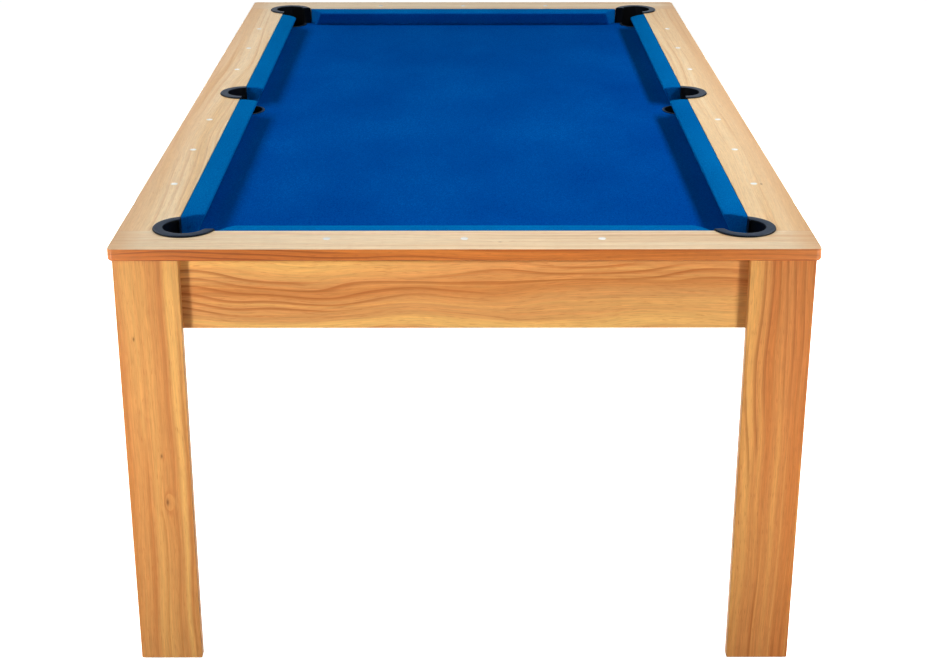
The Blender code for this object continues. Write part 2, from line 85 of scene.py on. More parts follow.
SIGHT_RADIUS = 0.0065
SIGHT_INSET = 0.0545         # centre of a sight from the table's outer edge
SIGHT_HEIGHT = 0.00035
SIGHT_DEPTH = 0.0002         # how far it goes into the wood
SIGHT_STEPS = 48

THREAD_PITCH = 0.00125
THREAD_DEPTH = 0.00065
THREAD_STEPS = 36            # round one turn
STEM_RADIUS = 0.004
STEM_CHAMFER = 0.0012
HEX_HEIGHT = 0.005
HEX_RADIUS = 0.0072
HEX_CHAMFER = 0.0004
PAD_BASE_HEIGHT = 0.004
PAD_BOSS_RADIUS = 0.008
PAD_BOSS_CHAMFER = 0.0006
PAD_BOSS_FOOT = 0.0008
PAD_RIM = 0.0035             # slope and round edge of the pad's rim
PAD_RIM_RADIUS = 0.002
PAD_FOOT_RADIUS = 0.0006
TURNED_STEPS = 64

BOARD_EDGE_RADIUS = 0.0011
BRACKET_EDGE_RADIUS = 0.0004
SHARP_ANGLE = 55             # degrees between faces of a CAD node that stay a sharp edge
CORNERS = {"near_left": (-1, -1), "near_right": (1, -1), "far_right": (1, 1), "far_left": (-1, 1)}
SOFTWOOD_KINDS = ("cushion_batten", "ledger", "crossbeam", "corner_block")

# ---- Places read from the frame --------------------------------
end_rail_low, end_rail_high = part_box("end_rail_near")
HALF_WIDTH = end_rail_high.x
HALF_LENGTH = -end_rail_low.y
RAIL_TOP = end_rail_high.z
RAIL_WIDTH = end_rail_high.y - end_rail_low.y
BED_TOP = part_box("bed_cloth")[1].z
APRON_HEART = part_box("apron_near")[0].y + 0.716     # y + z of its darkest grain


# ---- Shader graphs ---------------------------------------------
def tone(red, green, blue):
    """An sRGB colour, 0 to 255, as the linear RGBA that a socket takes."""
    linear = []
    for part in (red / 255, green / 255, blue / 255):
        linear.append(part / 12.92 if part <= 0.04045 else ((part + 0.055) / 1.055) ** 2.4)
    return (*linear, 1.0)


class Value:
    """An output socket that works in arithmetic, so that a pattern reads as a formula."""

    def __init__(self, graph, socket):
        self.graph = graph
        self.socket = socket

    def __add__(self, other):
        return self.graph.math("ADD", self, other)

    def __sub__(self, other):
        return self.graph.math("SUBTRACT", self, other)

    def __rsub__(self, other):
        return self.graph.math("SUBTRACT", other, self)

    def __mul__(self, other):
        return self.graph.math("MULTIPLY", self, other)

    def power(self, exponent):
        return self.graph.math("POWER", self, exponent)

    def fraction(self):
        return self.graph.math("FRACT", self)

    def rise(self, low, high):
        """0 below low, 1 above high, and a smooth rise between."""
        return self.graph.smooth_range(self, low, high, 0, 1)

    def fall(self, low, high):
        """1 below low, 0 above high, and a smooth fall between."""
        return self.graph.smooth_range(self, low, high, 1, 0)


class Graph:
    """A material with a Principled BSDF, and a short call for each kind of node."""

    def __init__(self, name, **constants):
        self.material = bpy.data.materials.new(name)
        self.material.use_nodes = True
        self.tree = self.material.node_tree
        self.surface = self.tree.nodes["Principled BSDF"]
        for key, value in constants.items():
            self.surface.inputs[key.replace("_", " ")].default_value = value
        coordinates = self.tree.nodes.new("ShaderNodeTexCoord")
        self.place = Value(self, coordinates.outputs["Object"])
        self.normal = Value(self, coordinates.outputs["Normal"])

    def put(self, value, socket):
        """Links a Value to a socket, or sets a number or colour on it."""
        if isinstance(value, Value):
            self.tree.links.new(value.socket, socket)
        else:
            socket.default_value = value

    def add(self, kind, inputs, output=0, **settings):
        """A shader node with these inputs, as the Value of one of its outputs."""
        node = self.tree.nodes.new("ShaderNode" + kind)
        for key, value in settings.items():
            setattr(node, key, value)
        for key, value in inputs.items():
            self.put(value, node.inputs[key])
        return Value(self, node.outputs[output])

    def math(self, operation, *values):
        """A Math node on numbers or Values."""
        return self.add("Math", dict(enumerate(values)), operation=operation)

    def smooth_range(self, value, low, high, to_low, to_high):
        """to_low below low, to_high above high, and a smooth change between."""
        inputs = {0: value, 1: low, 2: high, 3: to_low, 4: to_high}
        return self.add("MapRange", inputs, interpolation_type="SMOOTHSTEP")

    def vector(self, x, y, z):
        """Three numbers or Values as one vector."""
        return self.add("CombineXYZ", {0: x, 1: y, 2: z})

    def split(self, vector):
        """The three parts of a vector, as Values."""
        node = self.tree.nodes.new("ShaderNodeSeparateXYZ")
        self.put(vector, node.inputs[0])
        return [Value(self, output) for output in node.outputs]

    def noise(self, vector, scale=1.0, detail=0.0, roughness=0.5, distortion=0.0):
        """Perlin noise, 0 to 1 about a mean of a half."""
        inputs = {"Vector": vector, "Scale": scale, "Detail": detail, "Roughness": roughness,
                  "Distortion": distortion}
        return self.add("TexNoise", inputs)

    def mix(self, factor, first, second):
        """first where the factor is 0, second where it is 1."""
        node = self.tree.nodes.new("ShaderNodeMix")
        node.data_type = "RGBA"
        self.put(factor, node.inputs[0])
        self.put(first, node.inputs[6])
        self.put(second, node.inputs[7])
        return Value(self, node.outputs[2])

    def brighten(self, color, factor):
        """The colour times the factor."""
        return self.add("VectorMath", {0: color, 3: factor}, operation="SCALE")

    def ramp(self, value, stops):
        """A colour ramp through (position, colour) stops."""
        node = self.tree.nodes.new("ShaderNodeValToRGB")
        node.color_ramp.interpolation = "EASE"
        elements = node.color_ramp.elements
        while len(elements) < len(stops):
            elements.new(0.5)
        for element, (position, color) in zip(elements, stops):
            element.position = position
            element.color = color
        self.put(value, node.inputs[0])
        return Value(self, node.outputs[0])

    def finish(self, color, roughness, height=None, relief=0.0):
        """Connects the surface. Relief is the height of the bump in metres at height 1."""
        self.put(color, self.surface.inputs["Base Color"])
        self.put(roughness, self.surface.inputs["Roughness"])
        if height is not None:
            bump = self.add("Bump", {"Height": height, "Strength": 1.0, "Distance": relief})
            self.put(bump, self.surface.inputs["Normal"])
        return self.material


# ---- Wood ------------------------------------------------------
# In an oak look, pale, base and brown are the wood from light to dark, and line is the late wood.
#   line_strength  how far a dark line goes to its colour
#   line_start     noise value from which dark lines show at all
#   line_place     how much more the lines show where the wood is brown
#   gold           strength of the pale streaks
#   rings          dark lines per metre across the grain
#   figure         how many lines the slow noise moves them by, and stretch its rate along them
#   drift, wave    metres by which the grain bends, slowly and at wave_rate per metre
#   bands          light and dark zones, as noise cycles per metre across the grain
#   heart          (place across, half width) of a step to browner wood, or None
#   stripes        (place across, width, change) of single lighter or browner stripes
#   knots          (place along, place across, size) of each knot
KNOT_STRETCH = 0.4           # width of a knot as a share of its length
KNOT_BROWN = (126, 72, 36)
OAK_RELIEF = 0.00006
TAN_EDGE = (222, 170, 116)   # of a rail's top towards its outer side
TAN_WIDTH = 0.06
BAND_THICK = (0.010, 0.012)  # from the outer side, where the edge band ends


def oak_pattern(graph, along, across, seed, look):
    """Colour, dark lines, fibre and pores of oak, from places along and across its grain."""
    def streaks(place, along_rate, across_rate, number, **detail):
        """Noise drawn out along the grain, from its rates per metre along and across it."""
        spot = graph.vector(along * along_rate, place * across_rate, seed + number)
        return graph.noise(spot, **detail)

    drift = streaks(across, 1.5, 4, 0) - 0.5
    wave = streaks(across, look["wave_rate"], 11, 2) - 0.5
    line = across + drift * look["drift"] + wave * look["wave"]

    field = streaks(line, look["stretch"], 9, 4, detail=1.0)
    rings = line * look["rings"] + field * look["figure"]
    knot_shade = 0.0
    for knot_along, knot_across, size in look["knots"]:
        far_along = (along - knot_along) * (KNOT_STRETCH / size)
        far_across = (across - knot_across) * (1 / size)
        reach = far_along.power(2) + far_across.power(2)
        rings = rings + graph.math("EXPONENT", reach * -0.3) * 1.1
        knot_shade = graph.math("EXPONENT", reach * -4.0) + knot_shade

    phase = rings.fraction()
    late = phase.rise(0.45, 0.9) * phase.fall(0.92, 1.0)

    bands = streaks(line, 0.6, look["bands"], 8, detail=2.0)
    if look["heart"]:
        edge, width = look["heart"]
        bands = bands - (line + drift * 0.03).rise(edge - width, edge + width) * 0.22 + 0.08
    for stripe_across, half_width, change in look["stripes"]:
        away = (line - stripe_across) * (1 / half_width)
        bands = bands + graph.math("EXPONENT", away.power(2) * -1.0) * change

    shown = streaks(line, 1.8, 24, 6, detail=1.0) - (bands - 0.5) * look["line_place"]
    late = late * shown.rise(look["line_start"], look["line_start"] + 0.16)

    color = graph.ramp(bands, [(0.28, tone(*look["brown"])), (0.50, tone(*look["base"])),
                               (0.72, tone(*look["pale"]))])
    gold = streaks(line, 1.3, 130, 9, detail=2.0)
    color = graph.mix(gold.rise(0.52, 0.74) * look["gold"], color, tone(*look["pale"]))
    color = graph.mix(late * look["line_strength"], color, tone(*look["line"]))

    fibre = streaks(line, 14, 480, 10, detail=3.0, roughness=0.6)
    silk = streaks(line, 30, 110, 12, detail=1.0)
    color = graph.brighten(color, fibre * 0.44 + silk * 0.12 + 0.72)
    pores = streaks(line, 55, 1500, 14).rise(0.64, 0.76)
    color = graph.mix(pores * 0.4, color, tone(*look["line"]))
    if look["knots"]:
        knot_share = graph.math("MINIMUM", knot_shade * 0.7, 1.0)
        color = graph.mix(knot_share, color, tone(*KNOT_BROWN))
    return color, late, fibre, pores


FACE_OAK = {
    "pale": (240, 192, 122), "base": (226, 170, 110), "brown": (210, 142, 80),
    "line": (194, 116, 58), "line_strength": 0.8, "line_start": 0.44, "line_place": 0.5,
    "gold": 0.7, "rings": 78, "figure": 4.0, "stretch": 2.8, "drift": 0.03, "wave": 0.035,
    "wave_rate": 5.5, "bands": 24, "heart": None, "stripes": (), "knots": (),
}
NEAR_APRON_OAK = dict(FACE_OAK, pale=(241, 196, 125), brown=(216, 152, 90), line_place=0.9,
                      line_strength=0.7, rings=72, figure=5.0, stretch=3.4, drift=0.025,
                      stripes=((APRON_HEART, 0.038, -0.17), (APRON_HEART + 0.075, 0.025, 0.08)))
LEFT_LEG_OAK = dict(FACE_OAK, pale=(236, 189, 120), base=(219, 161, 100), brown=(209, 145, 84),
                    line_strength=0.35, rings=40, figure=2.0, stretch=1.0, wave=0.010, gold=0.4,
                    stripes=((0.566, 0.006, 0.2),),
                    knots=((0.634, 0.499, 0.003), (0.324, 0.538, 0.005), (0.414, 0.533, 0.003)))
RIGHT_LEG_OAK = dict(FACE_OAK, pale=(236, 184, 114), base=(217, 153, 92), brown=(211, 141, 80),
                     line=(176, 100, 50), line_strength=0.5, rings=72, figure=4.0, stretch=1.8,
                     wave=0.018, wave_rate=4.0, heart=(-0.541, 0.006), gold=0.5)
# Rail tops: paler than the faces, partly the wood's tone and partly a painted sheen of the light
# from above.
TOP_OAK = dict(FACE_OAK, pale=(247, 230, 202), base=(240, 217, 184), brown=(230, 197, 156),
               line=(206, 156, 108), line_strength=0.3, line_start=0.46, rings=60, figure=2.4,
               stretch=1.0, drift=0.05, wave=0.014, wave_rate=3.5, gold=0.6, bands=34)
NEAR_TOP_OAK = dict(TOP_OAK, knots=((0.060, -1.030, 0.0025),))
LEFT_TOP_OAK = dict(TOP_OAK, pale=(251, 232, 199), base=(246, 220, 182), brown=(237, 204, 157))
RIGHT_TOP_OAK = dict(TOP_OAK, pale=(249, 224, 185), base=(242, 212, 168), brown=(233, 195, 145),
                     knots=((-0.70, 0.554, 0.004),))
BAND_OAK = dict(FACE_OAK, pale=(222, 148, 74), base=(205, 127, 58), brown=(190, 106, 44),
                line=(152, 74, 30), line_strength=0.7, rings=110, figure=2.6, wave=0.008,
                bands=80)


def oak_finish(graph, color, late, fibre, pores):
    """Oiled oak: late wood a little duller, pores sunk in."""
    roughness = fibre * 0.12 + late * 0.05 + 0.33
    height = fibre * 0.5 - pores
    return graph.finish(color, roughness, height, relief=OAK_RELIEF)


def board_oak(name, grain_axis, seed, look, across_sign=1):
    """Oak for a board whose grain runs along one axis.

    The sum or difference of the other two axes serves both of its faces.
    """
    graph = Graph(name, IOR=1.45, Specular_IOR_Level=0.3)
    axes = graph.split(graph.place)
    along = axes.pop(grain_axis)
    across = axes[0] + axes[1] * across_sign
    return oak_finish(graph, *oak_pattern(graph, along, across, seed, look))


def rail_oak(name, grain_axis, seed, look):
    """Rail-top oak, paler partly as painted sheen, and the redder edge band round its outer sides.
    """
    graph = Graph(name, IOR=1.5, Specular_IOR_Level=0.5)
    x, y, z = graph.split(graph.place)
    along, across = (x, y) if grain_axis == 0 else (y, x)
    top = oak_pattern(graph, along, across, seed, look)
    band = oak_pattern(graph, x + y, z, seed + 31, BAND_OAK)
    from_side = HALF_WIDTH - graph.math("ABSOLUTE", x)
    from_end = HALF_LENGTH - graph.math("ABSOLUTE", y)
    outer = graph.math("MINIMUM", from_side, from_end)
    banded = graph.split(graph.normal)[2].fall(0.35, 0.75) * outer.fall(*BAND_THICK)
    tan = graph.mix(from_side.fall(0.0, TAN_WIDTH) * 0.5, top[0], tone(*TAN_EDGE))
    parts = [graph.mix(banded, tan, band[0])]
    for band_part, top_part in zip(band[1:], top[1:]):
        parts.append(top_part + banded * (band_part - top_part))
    return oak_finish(graph, *parts)


def softwood(name, grain_axis, seed):
    """Planed pine with wide, soft growth rings."""
    graph = Graph(name)
    axes = graph.split(graph.place)
    along = axes.pop(grain_axis)
    across = axes[0] + axes[1] * 1.3
    bend = graph.noise(graph.vector(along * 1.4, across * 6, seed)) - 0.5
    line = across + bend * 0.02
    field = graph.noise(graph.vector(along * 0.8, line * 10, seed + 3))
    phase = (line * 120 + field * 3).fraction()
    late = phase.rise(0.2, 0.92) * phase.fall(0.92, 1.0)
    fibre = graph.noise(graph.vector(along * 14, line * 500, seed + 5), detail=2.0)
    color = graph.mix(late * 0.6, tone(222, 190, 140), tone(188, 136, 84))
    color = graph.brighten(color, fibre * 0.3 + 0.85)
    return graph.finish(color, fibre * 0.15 + 0.62, fibre - late * 0.5, relief=0.00008)


def fibreboard(name):
    """Pressed wood fibre with a faint mottle and short pale fibres."""
    graph = Graph(name)
    mottle = graph.noise(graph.place, scale=45, detail=3.0)
    specks = graph.noise(graph.place, scale=1400, detail=2.0, roughness=0.7)
    color = graph.ramp(mottle, [(0.3, tone(150, 112, 74)), (0.7, tone(176, 138, 96))])
    color = graph.brighten(color, specks * 0.5 + 0.75)
    return graph.finish(color, specks * 0.1 + 0.8, specks, relief=0.00012)


# ---- Cloth, plastic and metal ----------------------------------
BED_BLUES = ((1, 64, 154), (2, 81, 168), (6, 101, 184))
# Same cloth as the bed, painted lighter and more teal for the light falling on the cushions.
CUSHION_BLUES = ((2, 97, 169), (4, 112, 182), (9, 129, 196))
SHEEN_CYAN = (4, 212, 212)
MOULDED_GRAIN = 0.00005      # relief of black plastic


def table_cloth(name, seed, blues, sheen):
    """Napped worsted cloth: a slow shade, a short nap that leans one way, and single fibres."""
    deep, base, light = blues
    graph = Graph(name, Sheen_Weight=sheen, Sheen_Roughness=0.4, Sheen_Tint=tone(*SHEEN_CYAN),
                  Specular_IOR_Level=0.0)
    x, y, z = graph.split(graph.place)
    shade = graph.noise(graph.vector(x * 5, y * 3, z * 5 + seed), detail=2.0)
    nap = graph.noise(graph.vector(x * 420, y * 190, z * 420 + seed), detail=2.0, roughness=0.65)
    fibres = graph.noise(graph.vector(x * 2600, y * 1500, z * 2600), detail=2.0, roughness=0.7)
    color = graph.ramp(shade * 0.35 + nap * 0.65, [(0.32, tone(*deep)), (0.50, tone(*base)),
                                                   (0.68, tone(*light))])
    color = graph.brighten(color, fibres * 0.5 + 0.75)
    return graph.finish(color, 0.92, nap * 0.4 + fibres * 0.6, relief=0.00035)


def pocket_plastic(name):
    """Black moulded plastic: slate blue facing up, partly painted reflection; walls painted shade.
    """
    graph = Graph(name, IOR=1.46, Specular_IOR_Level=0.3)
    cloud = graph.noise(graph.place, scale=28, detail=2.0)
    grain = graph.noise(graph.place, scale=1900, detail=2.0, roughness=0.6)
    # Painted light by facing: the slate blue on up faces is partly a painted reflection of the
    # light above; the near black on the walls is painted shade.
    tone_and_painted_reflection = graph.mix(cloud * 0.6 + grain * 0.4, tone(41, 56, 74), tone(62, 79, 99))
    wall = graph.mix(grain, tone(8, 9, 10), tone(20, 21, 23))
    painted_light_by_facing = graph.split(graph.normal)[2].rise(0.45, 0.95)
    color = graph.mix(painted_light_by_facing, wall, tone_and_painted_reflection)
    return graph.finish(color, cloud * 0.12 + grain * 0.08 + 0.27, grain, relief=MOULDED_GRAIN)


def moulded_plastic(name, base, grey, roughness):
    """Moulded plastic with a fine spark-eroded grain and slightly uneven gloss."""
    graph = Graph(name, IOR=1.46, Specular_IOR_Level=0.35)
    cloud = graph.noise(graph.place, scale=28, detail=2.0)
    grain = graph.noise(graph.place, scale=1900, detail=2.0, roughness=0.6)
    color = graph.mix(cloud * 0.6 + grain * 0.4, tone(*base), tone(*grey))
    return graph.finish(color, cloud * 0.12 + grain * 0.08 + roughness, grain,
                        relief=MOULDED_GRAIN)


def zinc_steel(name):
    """Zinc plate: pale grey metal with cloudy patches and fine drawing lines."""
    graph = Graph(name, Metallic=1.0)
    x, y, z = graph.split(graph.place)
    cloud = graph.noise(graph.place, scale=160, detail=3.0)
    lines = graph.noise(graph.vector(x * 2400, y * 2400, z * 180), detail=1.0)
    color = graph.ramp(cloud, [(0.3, tone(172, 176, 182)), (0.7, tone(206, 208, 210))])
    return graph.finish(color, cloud * 0.25 + lines * 0.1 + 0.2, lines, relief=0.00002)


def sight_plastic(name):
    """Polished off-white plastic with a faint pearl cloud."""
    graph = Graph(name, IOR=1.5)
    cloud = graph.noise(graph.place, scale=340, detail=2.0, distortion=1.2)
    color = graph.mix(cloud.rise(0.3, 0.7), tone(252, 252, 250), tone(255, 255, 254))
    return graph.finish(color, cloud * 0.1 + 0.16, cloud, relief=0.00001)


# ---- Mesh helpers ----------------------------------------------
def new_piece(name, mesh, material, body="frame"):
    """A visible piece that rides on a CAD body."""
    piece = link(name, mesh)
    mesh.materials.clear()
    mesh.materials.append(material)
    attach(piece, body)
    return piece


def link(name, data):
    """A new object in the scene."""
    made = bpy.data.objects.new(name, data)
    bpy.context.scene.collection.objects.link(made)
    return made


def mesh_from(bm, name, smooth_angle=None):
    """The mesh of a BMesh, shaded smooth up to an angle in degrees if one is given."""
    mesh = bpy.data.meshes.new(name)
    bmesh.ops.recalc_face_normals(bm, faces=bm.faces)
    bm.to_mesh(mesh)
    bm.free()
    if smooth_angle:
        mesh.shade_smooth()
        mesh.set_sharp_from_angle(angle=math.radians(smooth_angle))
    return mesh


def baked(holder, name):
    """The evaluated mesh of an object that is then removed."""
    bpy.context.view_layer.update()
    graph = bpy.context.evaluated_depsgraph_get()
    mesh = bpy.data.meshes.new_from_object(holder.evaluated_get(graph))
    mesh.name = name
    bpy.data.objects.remove(holder)
    return mesh


def arc(center, radius, start, end, segments):
    """Points of an arc, angles in degrees, both ends included."""
    points = []
    for step in range(segments + 1):
        angle = math.radians(start + (end - start) * step / segments)
        points.append((center[0] + radius * math.cos(angle), center[1] + radius * math.sin(angle)))
    return points


def turned(name, profile, steps):
    """A closed BMesh of (radius, height) points turned about Z, first and last on the axis."""
    bm = bmesh.new()
    rings = []
    for radius, height in profile:
        if radius == 0:
            rings.append([bm.verts.new((0, 0, height))])
            continue
        ring = []
        for step in range(steps):
            angle = 2 * math.pi * step / steps
            ring.append(bm.verts.new((radius * math.cos(angle), radius * math.sin(angle), height)))
        rings.append(ring)
    join_rings(bm, rings)
    return bm


def join_rings(bm, rings):
    """Quads between rings of equal length, and fans where a ring is a single point."""
    for lower, upper in zip(rings, rings[1:]):
        count = max(len(lower), len(upper))
        for step in range(count):
            following = (step + 1) % count
            corners = []
            round_the_face = ((lower, step), (lower, following), (upper, following), (upper, step))
            for ring, index in round_the_face:
                vertex = ring[index % len(ring)]
                if vertex not in corners:
                    corners.append(vertex)
            if len(corners) > 2:
                bm.faces.new(corners)


# ---- CAD nodes that stay ---------------------------------------
def shading_tree(name, smooth_angle):
    """Geometry nodes that weld the triangles and shade them smooth except at sharp edges."""
    tree = bpy.data.node_groups.new(name, "GeometryNodeTree")
    tree.interface.new_socket("Geometry", in_out="INPUT", socket_type="NodeSocketGeometry")
    tree.interface.new_socket("Geometry", in_out="OUTPUT", socket_type="NodeSocketGeometry")
    nodes, links = tree.nodes, tree.links
    source, result = nodes.new("NodeGroupInput"), nodes.new("NodeGroupOutput")
    weld = nodes.new("GeometryNodeMergeByDistance")
    weld.inputs["Distance"].default_value = 1e-5
    clear = nodes.new("GeometryNodeRemoveAttribute")
    clear.inputs["Name"].default_value = "custom_normal"
    angle = nodes.new("GeometryNodeInputMeshEdgeAngle")
    sharp = nodes.new("FunctionNodeCompare")
    sharp.operation = "GREATER_THAN"
    sharp.inputs[1].default_value = math.radians(smooth_angle)
    faces = nodes.new("GeometryNodeSetShadeSmooth")
    faces.domain = "FACE"
    edges = nodes.new("GeometryNodeSetShadeSmooth")
    edges.domain = "EDGE"
    edges.inputs["Shade Smooth"].default_value = False
    chain = [source, weld, clear, faces, edges, result]
    for before, after in zip(chain, chain[1:]):
        links.new(before.outputs[0], after.inputs[0])
    links.new(angle.outputs["Unsigned Angle"], sharp.inputs[0])
    links.new(sharp.outputs[0], edges.inputs["Selection"])
    return tree


def dress_node(node, material, shading, edge_radius=0.0):
    """Gives a CAD node its material, clean shading and, if asked, eased edges."""
    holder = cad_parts[node]
    holder.data.materials.clear()
    holder.data.materials.append(material)
    weld = holder.modifiers.new("weld", "NODES")
    weld.node_group = shading
    if edge_radius:
        merge = holder.modifiers.new("flat_faces", "DECIMATE")
        merge.decimate_type = "DISSOLVE"
        merge.angle_limit = math.radians(0.5)
        ease = holder.modifiers.new("ease", "BEVEL")
        ease.width = edge_radius
        ease.segments = 3
        ease.limit_method = "ANGLE"
        ease.angle_limit = math.radians(40)
        again = holder.modifiers.new("shade", "NODES")
        again.node_group = shading
    weighted = holder.modifiers.new("normals", "WEIGHTED_NORMAL")
    weighted.keep_sharp = True


def dress_boards(shading):
    """Oak on the rails, aprons and legs."""
    looks = {
        "end_rail_near": (0, 3.1, NEAR_TOP_OAK), "end_rail_far": (0, 17.7, TOP_OAK),
        "side_rail_left": (1, 41.3, LEFT_TOP_OAK), "side_rail_right": (1, 59.9, RIGHT_TOP_OAK),
    }
    for node, (grain_axis, seed, look) in looks.items():
        dress_node(node, rail_oak(node, grain_axis, seed, look), shading)

    aprons = (("near", 0), ("far", 0), ("left", 1), ("right", 1))
    for number, (side, grain_axis) in enumerate(aprons):
        node = f"apron_{side}"
        look = NEAR_APRON_OAK if side == "near" else FACE_OAK
        material = board_oak(node, grain_axis, 83.5 + 11.3 * number, look)
        dress_node(node, material, shading)

    for number, (corner, (side_x, side_y)) in enumerate(CORNERS.items()):
        node = f"leg_{corner}"
        look = LEFT_LEG_OAK if side_x < 0 else RIGHT_LEG_OAK
        if side_y > 0:
            look = dict(look, knots=(), stripes=(), heart=None)
        material = board_oak(node, 2, 140.2 + 7.9 * number, look, -side_x * side_y)
        dress_node(node, material, shading, BOARD_EDGE_RADIUS)


def dress_inner_parts(shading):
    """Pine, fibreboard and steel for what the table holds inside."""
    for number, node in enumerate(sorted(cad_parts)):
        if node.startswith(SOFTWOOD_KINDS):
            low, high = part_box(node)
            size = high - low
            grain_axis = max(range(3), key=lambda axis: size[axis])
            dress_node(node, softwood(node, grain_axis, 5.3 * number), shading)
    board = fibreboard("fibreboard")
    for node in ["bed_board"] + [f"foot_block_{corner}" for corner in CORNERS]:
        dress_node(node, board, shading)
    steel = zinc_steel("zinc_steel")
    for corner in CORNERS:
        dress_node(f"leg_bracket_{corner}", steel, shading, BRACKET_EDGE_RADIUS)


# ---- Bed cloth -------------------------------------------------
def make_bed_cloth():
    """One sheet of cloth stretched over the bed board, with a hole at each pocket."""
    low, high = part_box("bed_cloth")
    thick = high.z - low.z
    curve = bpy.data.curves.new("bed_cloth_cut", "CURVE")
    curve.dimensions = "2D"
    curve.fill_mode = "BOTH"
    curve.extrude = thick / 2
    outlines = [[(low.x, low.y), (high.x, low.y), (high.x, high.y), (low.x, high.y)]]
    radius = POCKET_RADIUS + LINER_THICK + HOLE_PLAY
    for center in pocket_centers().values():
        outlines.append(arc(center, radius, 0, 360, LINER_STEPS)[:-1])
    for outline in outlines:
        spline = curve.splines.new("POLY")
        spline.points.add(len(outline) - 1)
        for point, (x, y) in zip(spline.points, outline):
            point.co = (x, y, 0, 1)
        spline.use_cyclic_u = True
    flat = baked(link("bed_cloth_cut", curve), "bed_cloth_cut")
    bm = bmesh.new()
    bm.from_mesh(flat)
    bmesh.ops.remove_doubles(bm, verts=bm.verts, dist=1e-6)
    bmesh.ops.translate(bm, vec=(0, 0, (low.z + high.z) / 2), verts=bm.verts)
    material = table_cloth("bed_cloth", 2.0, BED_BLUES, 0.2)
    cloth = new_piece("bed_cloth_sheet", mesh_from(bm, "bed_cloth_sheet"), material)
    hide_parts("bed_cloth")


# ---- Cushions --------------------------------------------------
def cushion_section(depth):
    """Closed outline of a cushion as (distance from the wood, height), up its back first."""
    top = RAIL_TOP - CUSHION_CROWN
    foot = BED_TOP + GAP
    nose = (depth - NOSE_RADIUS, RAIL_TOP - NOSE_DROP - NOSE_RADIUS)
    face_angle = math.degrees(math.atan2(CUSHION_FOOT, nose[1] - foot))
    points = [(0, foot + 0.001), (0, foot + 0.012), (0, top - CUSHION_ROLL - 0.001)]
    points += arc((CUSHION_ROLL, top - CUSHION_ROLL - ROLL_DROP), CUSHION_ROLL, 170, 95, 4)
    points += [(depth * share, top - fall) for share, fall in CROWN_SHAPE]
    points += arc(nose, NOSE_RADIUS, 82, -face_angle, 9)
    start = points[-1]
    end = (depth - CUSHION_FOOT, foot)
    for share, hollow in FACE_SHAPE:
        points.append((start[0] + (end[0] - start[0]) * share - hollow,
                       start[1] + (end[1] - start[1]) * share))
    points += [(end[0] - 0.0012, foot), (depth * 0.3, foot)]
    return points


def section_normals(points):
    """Outward unit normals of a closed clockwise outline."""
    normals = []
    for index in range(len(points)):
        before, after = Vector(points[index - 1]), Vector(points[(index + 1) % len(points)])
        run = (after - before).normalized()
        normals.append(Vector((-run.y, run.x)))
    return normals


def make_cushion(name, seed, material):
    """Rubber cushion under stretched cloth, lofted between the slanted ends of its CAD solid."""
    low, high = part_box(name)
    runs_along_x = high.x - low.x > high.y - low.y
    size = high - low
    depth = size.y if runs_along_x else size.x
    middle = (low + high) / 2
    side = math.copysign(1, middle.y if runs_along_x else middle.x)
    wood = side * ((HALF_LENGTH if runs_along_x else HALF_WIDTH) - RAIL_WIDTH - GAP)
    start, end = (low.x, high.x) if runs_along_x else (low.y, high.y)
    cuts = cushion_cuts(name, start, end)

    points = cushion_section(depth)
    normals = section_normals(points)
    bm = bmesh.new()
    rings = []
    for share, shrink in section_places(end - start):
        ring = []
        for (out, height), normal in zip(points, normals):
            in_sight = out > 0.0005 and height > BED_TOP + 0.002
            eased = shrink if in_sight else shrink * HIDDEN_ROUNDING
            out_in = out - normal.x * eased
            up_in = height - normal.y * eased
            slant = max(0.0, min(1.0, out_in / depth))
            at_start = start + cuts[0] * slant
            at_end = end - cuts[1] * slant
            place = at_start + (at_end - at_start) * share
            stir = noise.noise((place * 9 + seed, out * 40, height * 30)) * CUSHION_STIR
            out_in += stir * normal.x
            up_in += stir * normal.y
            across = wood - side * out_in
            spot = (place, across, up_in) if runs_along_x else (across, place, up_in)
            ring.append(bm.verts.new(spot))
        rings.append(ring)
    join_rings(bm, rings)
    for ring in (rings[0], rings[-1]):
        bm.faces.new(ring)
    made = new_piece(f"{name}_cloth", mesh_from(bm, f"{name}_cloth", 48), material)
    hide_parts(name)


def cushion_cuts(name, start, end):
    """How much shorter the cushion is at its nose than at the wood, at each end."""
    if name.startswith("cushion_end"):
        return CORNER_CUT, CORNER_CUT
    return (MIDDLE_CUT, CORNER_CUT) if abs(start) < abs(end) else (CORNER_CUT, MIDDLE_CUT)


def section_places(length):
    """Places along a cushion as (share of its length, how far the section is drawn in)."""
    places = []
    for step in range(5):
        angle = math.radians(90 * step / 4)
        places.append((CUSHION_END_RADIUS * (1 - math.sin(angle)),
                       CUSHION_END_RADIUS * (1 - math.cos(angle))))
    places.reverse()
    count = round(length / CUSHION_SECTION_SPACING)
    inner = [(CUSHION_END_RADIUS + (length - 2 * CUSHION_END_RADIUS) * step / count, 0.0)
             for step in range(1, count)]
    outer = [(length - distance, shrink) for distance, shrink in reversed(places)]
    return [(distance / length, shrink) for distance, shrink in places + inner + outer]


def make_cushions():
    """The six cushions, all in one cloth."""
    material = table_cloth("cushion_cloth", 8.0, CUSHION_BLUES, 0.25)
    nodes = [node for node in sorted(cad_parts)
             if node.startswith("cushion_") and not node.startswith("cushion_batten")]
    for number, node in enumerate(nodes):
        make_cushion(node, 3.7 * number, material)


# ---- Pocket liners ---------------------------------------------
def collar_radius():
    """Outer radius of a liner's collar, from the length of a middle one."""
    low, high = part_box("pocket_liner_middle_left")
    return (high.y - low.y) / 2


